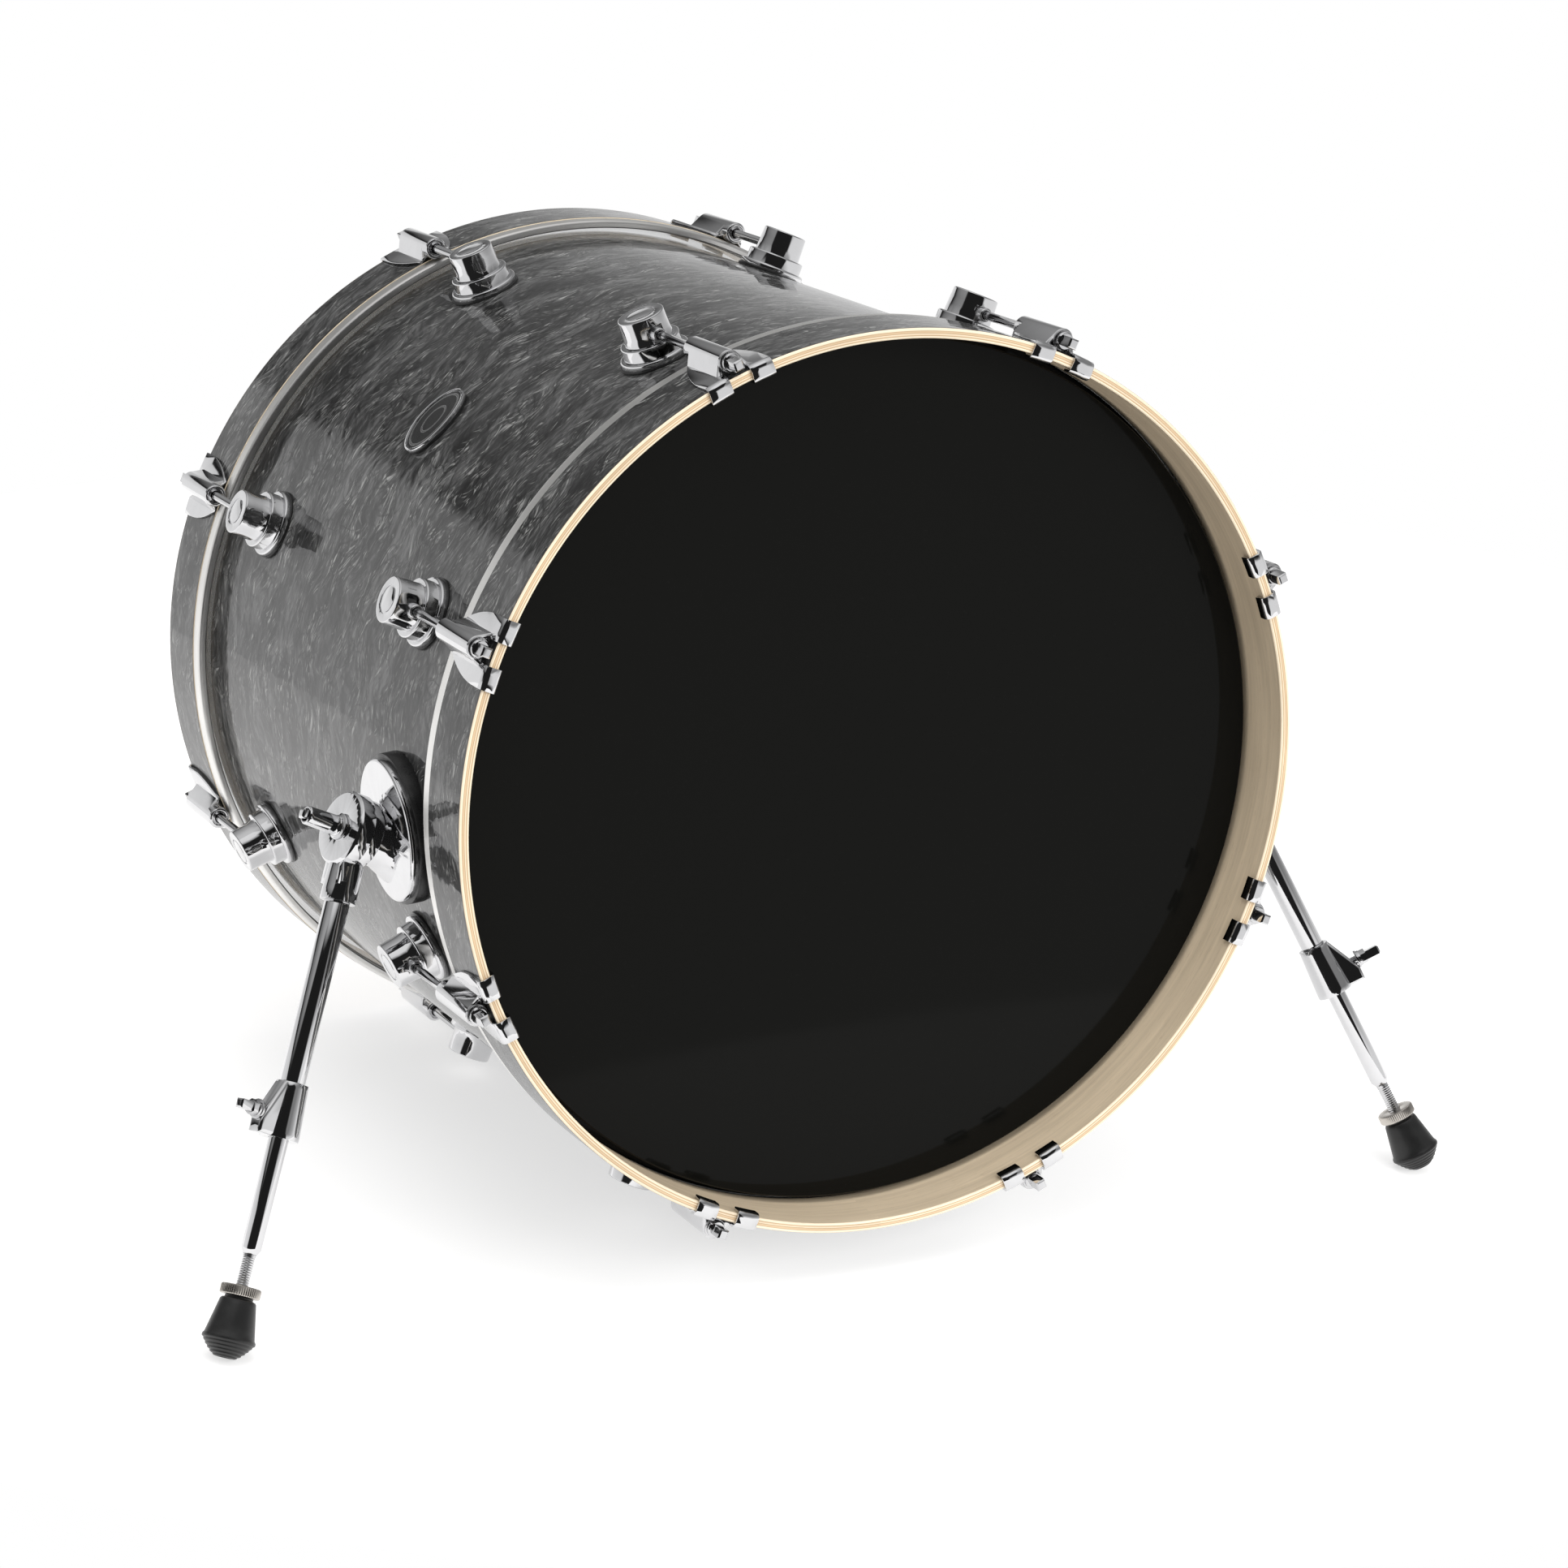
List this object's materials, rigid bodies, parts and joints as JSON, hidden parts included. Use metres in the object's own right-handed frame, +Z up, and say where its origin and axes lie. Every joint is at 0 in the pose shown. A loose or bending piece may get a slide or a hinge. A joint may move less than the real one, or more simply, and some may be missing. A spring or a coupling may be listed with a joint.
{
  "type": "bass drum",
  "caption": "Bass drum with laminate-wrapped wood shell and hoops, turret lugs, claw-hooked tension rods, two heads and a pair of folding, telescoping spur legs.",
  "frame": {"origin": "on the floor plane under the middle of the drum: the bottom centre of the bounding box when the drum stands on its rear hoop and both spur feet", "axes": "+Z up, +X to the right seen from the front and along the longest extent, -Y towards the front (resonant) head; the drum axis leans back 3.45 degrees from Y"},
  "size_m": [0.8888, 0.5818, 0.6127],
  "materials": {
    "maple": "clear satin lacquer over maple plies",
    "pearl_laminate": "glossy charcoal pearl laminate with fine light and dark streaks",
    "black_film": "glossy black plastic film",
    "clear_film": "clear plastic film",
    "satin_metal": "satin silver",
    "chrome": "mirror chrome",
    "steel_chrome": "chromed steel",
    "zinc_steel": "bright zinc plate",
    "nickel": "knurled nickel plate",
    "black_rubber": "smooth black rubber",
    "foot_rubber": "satin black rubber"
  },
  "bodies": {
    "drum": {"shell": "maple", "front_hoop": "maple", "rear_hoop": "maple", "shell_wrap": "pearl_laminate", "front_hoop_wrap": "pearl_laminate", "rear_hoop_wrap": "pearl_laminate", "front_head": "black_film", "rear_head": "clear_film", "front_flesh_hoop": "satin_metal", "rear_flesh_hoop": "satin_metal", "front_lugs": "chrome", "rear_lugs": "chrome", "front_claws": "chrome", "rear_claws": "chrome", "badge": "chrome", "lug_gaskets": "black_rubber", "badge_pad": "black_rubber", "bracket_gaskets": "black_rubber", "lug_nuts": "zinc_steel", "lug_screws": "zinc_steel", "rod_washers": "zinc_steel", "bracket_screws": "zinc_steel", "left_bracket": "chrome", "right_bracket": "chrome"},
    "front_rod_1": {"front_tension_rod_1": "steel_chrome"},
    "rear_rod_1": {"rear_tension_rod_1": "steel_chrome"},
    "front_rod_2": {"front_tension_rod_2": "steel_chrome"},
    "rear_rod_2": {"rear_tension_rod_2": "steel_chrome"},
    "front_rod_3": {"front_tension_rod_3": "steel_chrome"},
    "rear_rod_3": {"rear_tension_rod_3": "steel_chrome"},
    "front_rod_4": {"front_tension_rod_4": "steel_chrome"},
    "rear_rod_4": {"rear_tension_rod_4": "steel_chrome"},
    "front_rod_5": {"front_tension_rod_5": "steel_chrome"},
    "rear_rod_5": {"rear_tension_rod_5": "steel_chrome"},
    "front_rod_6": {"front_tension_rod_6": "steel_chrome"},
    "rear_rod_6": {"rear_tension_rod_6": "steel_chrome"},
    "front_rod_7": {"front_tension_rod_7": "steel_chrome"},
    "rear_rod_7": {"rear_tension_rod_7": "steel_chrome"},
    "front_rod_8": {"front_tension_rod_8": "steel_chrome"},
    "rear_rod_8": {"rear_tension_rod_8": "steel_chrome"},
    "left_upper_leg": {"left_knuckle": "chrome", "left_upper_tube": "chrome", "left_collar": "chrome"},
    "left_lower_leg": {"left_lower_tube": "chrome", "left_spike": "zinc_steel"},
    "left_rubber_foot": {"left_foot": "foot_rubber"},
    "left_jam_nut": {"left_lock_nut": "nickel"},
    "left_pivot_key": {"left_pivot_bolt": "chrome"},
    "left_collar_key": {"left_collar_bolt": "steel_chrome"},
    "right_upper_leg": {"right_knuckle": "chrome", "right_upper_tube": "chrome", "right_collar": "chrome"},
    "right_lower_leg": {"right_lower_tube": "chrome", "right_spike": "zinc_steel"},
    "right_rubber_foot": {"right_foot": "foot_rubber"},
    "right_jam_nut": {"right_lock_nut": "nickel"},
    "right_pivot_key": {"right_pivot_bolt": "chrome"},
    "right_collar_key": {"right_collar_bolt": "steel_chrome"}
  },
  "joints": [
    {"name": "turn_front_rod_1", "type": "hinge", "parent": "drum", "child": "front_rod_1", "pos_m": [0.27569, -0.19277, 0.43238], "axis": [0, -0.9982, 0.0602], "continuous": true},
    {"name": "turn_rear_rod_1", "type": "hinge", "parent": "drum", "child": "rear_rod_1", "pos_m": [0.27569, 0.20651, 0.40831], "axis": [0, 0.9982, -0.0602], "continuous": true},
    {"name": "turn_front_rod_2", "type": "hinge", "parent": "drum", "child": "front_rod_2", "pos_m": [0.11419, -0.18305, 0.59358], "axis": [0, -0.9982, 0.0602], "continuous": true},
    {"name": "turn_rear_rod_2", "type": "hinge", "parent": "drum", "child": "rear_rod_2", "pos_m": [0.11419, 0.21623, 0.56951], "axis": [0, 0.9982, -0.0602], "continuous": true},
    {"name": "turn_front_rod_3", "type": "hinge", "parent": "drum", "child": "front_rod_3", "pos_m": [-0.11419, -0.18305, 0.59358], "axis": [0, -0.9982, 0.0602], "continuous": true},
    {"name": "turn_rear_rod_3", "type": "hinge", "parent": "drum", "child": "rear_rod_3", "pos_m": [-0.11419, 0.21623, 0.56951], "axis": [0, 0.9982, -0.0602], "continuous": true},
    {"name": "turn_front_rod_4", "type": "hinge", "parent": "drum", "child": "front_rod_4", "pos_m": [-0.27569, -0.19277, 0.43238], "axis": [0, -0.9982, 0.0602], "continuous": true},
    {"name": "turn_rear_rod_4", "type": "hinge", "parent": "drum", "child": "rear_rod_4", "pos_m": [-0.27569, 0.20651, 0.40831], "axis": [0, 0.9982, -0.0602], "continuous": true},
    {"name": "turn_front_rod_5", "type": "hinge", "parent": "drum", "child": "front_rod_5", "pos_m": [-0.27569, -0.20651, 0.20441], "axis": [0, -0.9982, 0.0602], "continuous": true},
    {"name": "turn_rear_rod_5", "type": "hinge", "parent": "drum", "child": "rear_rod_5", "pos_m": [-0.27569, 0.19277, 0.18034], "axis": [0, 0.9982, -0.0602], "continuous": true},
    {"name": "turn_front_rod_6", "type": "hinge", "parent": "drum", "child": "front_rod_6", "pos_m": [-0.11419, -0.21623, 0.04321], "axis": [0, -0.9982, 0.0602], "continuous": true},
    {"name": "turn_rear_rod_6", "type": "hinge", "parent": "drum", "child": "rear_rod_6", "pos_m": [-0.11419, 0.18305, 0.01914], "axis": [0, 0.9982, -0.0602], "continuous": true},
    {"name": "turn_front_rod_7", "type": "hinge", "parent": "drum", "child": "front_rod_7", "pos_m": [0.11419, -0.21623, 0.04321], "axis": [0, -0.9982, 0.0602], "continuous": true},
    {"name": "turn_rear_rod_7", "type": "hinge", "parent": "drum", "child": "rear_rod_7", "pos_m": [0.11419, 0.18305, 0.01914], "axis": [0, 0.9982, -0.0602], "continuous": true},
    {"name": "turn_front_rod_8", "type": "hinge", "parent": "drum", "child": "front_rod_8", "pos_m": [0.27569, -0.20651, 0.20441], "axis": [0, -0.9982, 0.0602], "continuous": true},
    {"name": "turn_rear_rod_8", "type": "hinge", "parent": "drum", "child": "rear_rod_8", "pos_m": [0.27569, 0.19277, 0.18034], "axis": [0, 0.9982, -0.0602], "continuous": true},
    {"name": "leg_fold_left", "type": "hinge", "parent": "drum", "child": "left_upper_leg", "pos_m": [-0.3084, -0.14151, 0.28714], "axis": [0.8986, 0.0854, -0.4304], "range_deg": [-8, 100]},
    {"name": "leg_extend_left", "type": "slide", "parent": "left_upper_leg", "child": "left_lower_leg", "axis": [-0.3749, -0.3604, -0.8541], "range_m": [-0.055, 0.055]},
    {"name": "foot_screw_left", "type": "slide", "parent": "left_lower_leg", "child": "left_rubber_foot", "axis": [0.3749, 0.3604, 0.8541], "range_m": [0, 0.014]},
    {"name": "turn_lock_nut_left", "type": "hinge", "parent": "left_rubber_foot", "child": "left_jam_nut", "pos_m": [-0.41674, -0.24568, 0.0403], "axis": [-0.3749, -0.3604, -0.8541], "continuous": true},
    {"name": "turn_pivot_bolt_left", "type": "hinge", "parent": "drum", "child": "left_pivot_key", "pos_m": [-0.3084, -0.14151, 0.28714], "axis": [-0.8986, -0.0854, 0.4304], "continuous": true},
    {"name": "turn_collar_bolt_left", "type": "hinge", "parent": "left_upper_leg", "child": "left_collar_key", "pos_m": [-0.37682, -0.20729, 0.13126], "axis": [-0.8315, -0.2766, 0.4817], "continuous": true},
    {"name": "leg_fold_right", "type": "hinge", "parent": "drum", "child": "right_upper_leg", "pos_m": [0.3084, -0.14151, 0.28714], "axis": [0.8986, -0.0854, 0.4304], "range_deg": [-8, 100]},
    {"name": "leg_extend_right", "type": "slide", "parent": "right_upper_leg", "child": "right_lower_leg", "axis": [0.3749, -0.3604, -0.8541], "range_m": [-0.055, 0.055]},
    {"name": "foot_screw_right", "type": "slide", "parent": "right_lower_leg", "child": "right_rubber_foot", "axis": [-0.3749, 0.3604, 0.8541], "range_m": [0, 0.014]},
    {"name": "turn_lock_nut_right", "type": "hinge", "parent": "right_rubber_foot", "child": "right_jam_nut", "pos_m": [0.41674, -0.24568, 0.0403], "axis": [0.3749, -0.3604, -0.8541], "continuous": true},
    {"name": "turn_pivot_bolt_right", "type": "hinge", "parent": "drum", "child": "right_pivot_key", "pos_m": [0.3084, -0.14151, 0.28714], "axis": [0.8986, -0.0854, 0.4304], "continuous": true},
    {"name": "turn_collar_bolt_right", "type": "hinge", "parent": "right_upper_leg", "child": "right_collar_key", "pos_m": [0.37682, -0.20729, 0.13126], "axis": [0.8315, -0.2766, 0.4817], "continuous": true}
  ]
}
